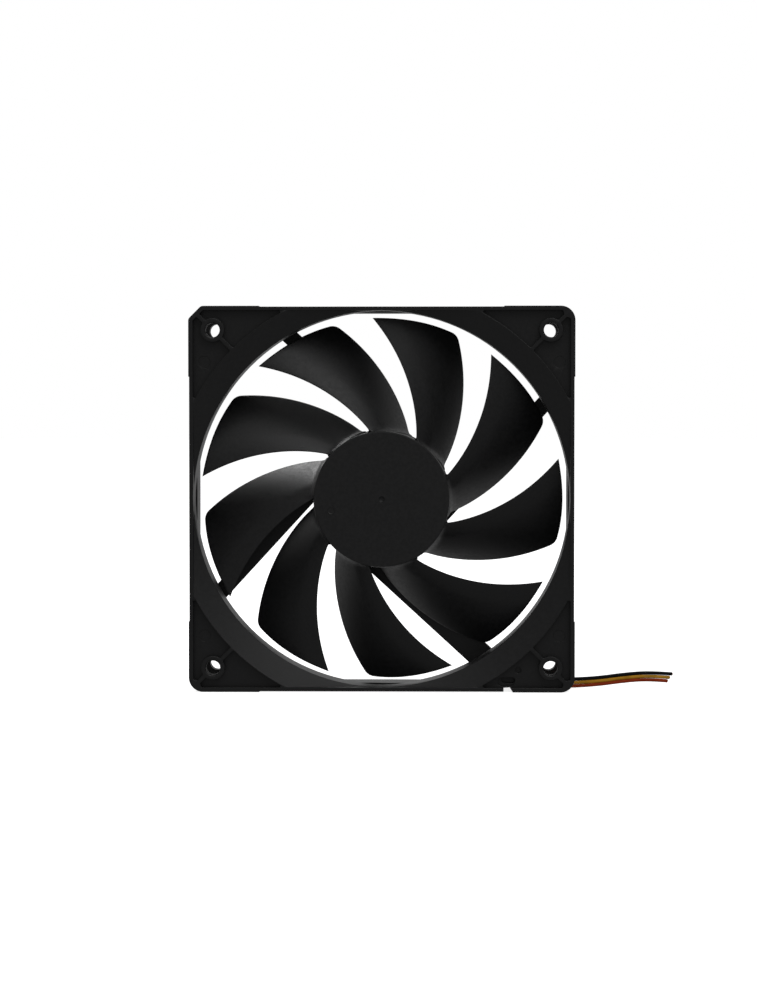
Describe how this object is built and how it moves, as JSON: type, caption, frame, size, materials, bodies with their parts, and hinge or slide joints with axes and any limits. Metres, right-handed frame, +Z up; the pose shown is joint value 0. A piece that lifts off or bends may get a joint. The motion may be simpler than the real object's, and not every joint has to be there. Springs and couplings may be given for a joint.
{
  "type": "case fan",
  "caption": "Square computer case fan: a black moulded frame with round duct and corner screw holes, a swept-blade impeller on a small hub motor, and a short three-wire lead.",
  "frame": {"origin": "on the rotor axis, at the middle of the frame's depth, which is the centre of the frame's box", "axes": "+Z up with the fan standing on its bottom edge, the rotor axis along Y, intake side facing -Y, exhaust side with the struts facing +Y"},
  "size_m": [0.1514, 0.025, 0.12],
  "materials": {
    "frame_plastic": "moulded, fine matte",
    "impeller_plastic": "moulded, fine matte",
    "yoke_steel": "drawn and zinc plated",
    "ferrite": "sintered",
    "shaft_steel": "ground and hardened",
    "brass": "turned",
    "sintered_bronze": "sintered, oiled",
    "nylon": "natural",
    "lamination_steel": "stamped laminations",
    "former_plastic": "moulded",
    "copper_winding": "enamelled copper",
    "tin": "tinned",
    "board": "solder mask",
    "chip_resin": "moulded resin",
    "capacitor_body": "fired",
    "label_foil": "blank printed foil",
    "wire_black": "extruded PVC",
    "wire_yellow": "extruded PVC",
    "wire_red": "extruded PVC"
  },
  "bodies": {
    "root": {"frame": "frame_plastic", "bearing_tube": "brass", "sleeve_bearing": "sintered_bronze", "oil_ring": "nylon", "thrust_pad": "nylon", "bearing_cap": "nylon", "stator_core": "lamination_steel", "insulator_front": "former_plastic", "insulator_rear": "former_plastic", "coil_1": "copper_winding", "coil_2": "copper_winding", "coil_3": "copper_winding", "coil_4": "copper_winding", "terminal_pins": "tin", "circuit_board": "board", "hall_sensor": "chip_resin", "driver_chip": "chip_resin", "capacitors": "capacitor_body", "resistors": "chip_resin", "solder_joints": "tin", "rear_label": "label_foil", "wire_black": "wire_black", "wire_yellow": "wire_yellow", "wire_red": "wire_red"},
    "rotor": {"impeller": "impeller_plastic", "rotor_yoke": "yoke_steel", "ring_magnet": "ferrite", "shaft": "shaft_steel", "shaft_insert": "brass", "retaining_ring": "nylon"}
  },
  "joints": [
    {"name": "rotor_spin", "type": "hinge", "parent": "root", "child": "rotor", "pos_m": [0, 0, 0], "axis": [0, -1, 0], "continuous": true}
  ]
}
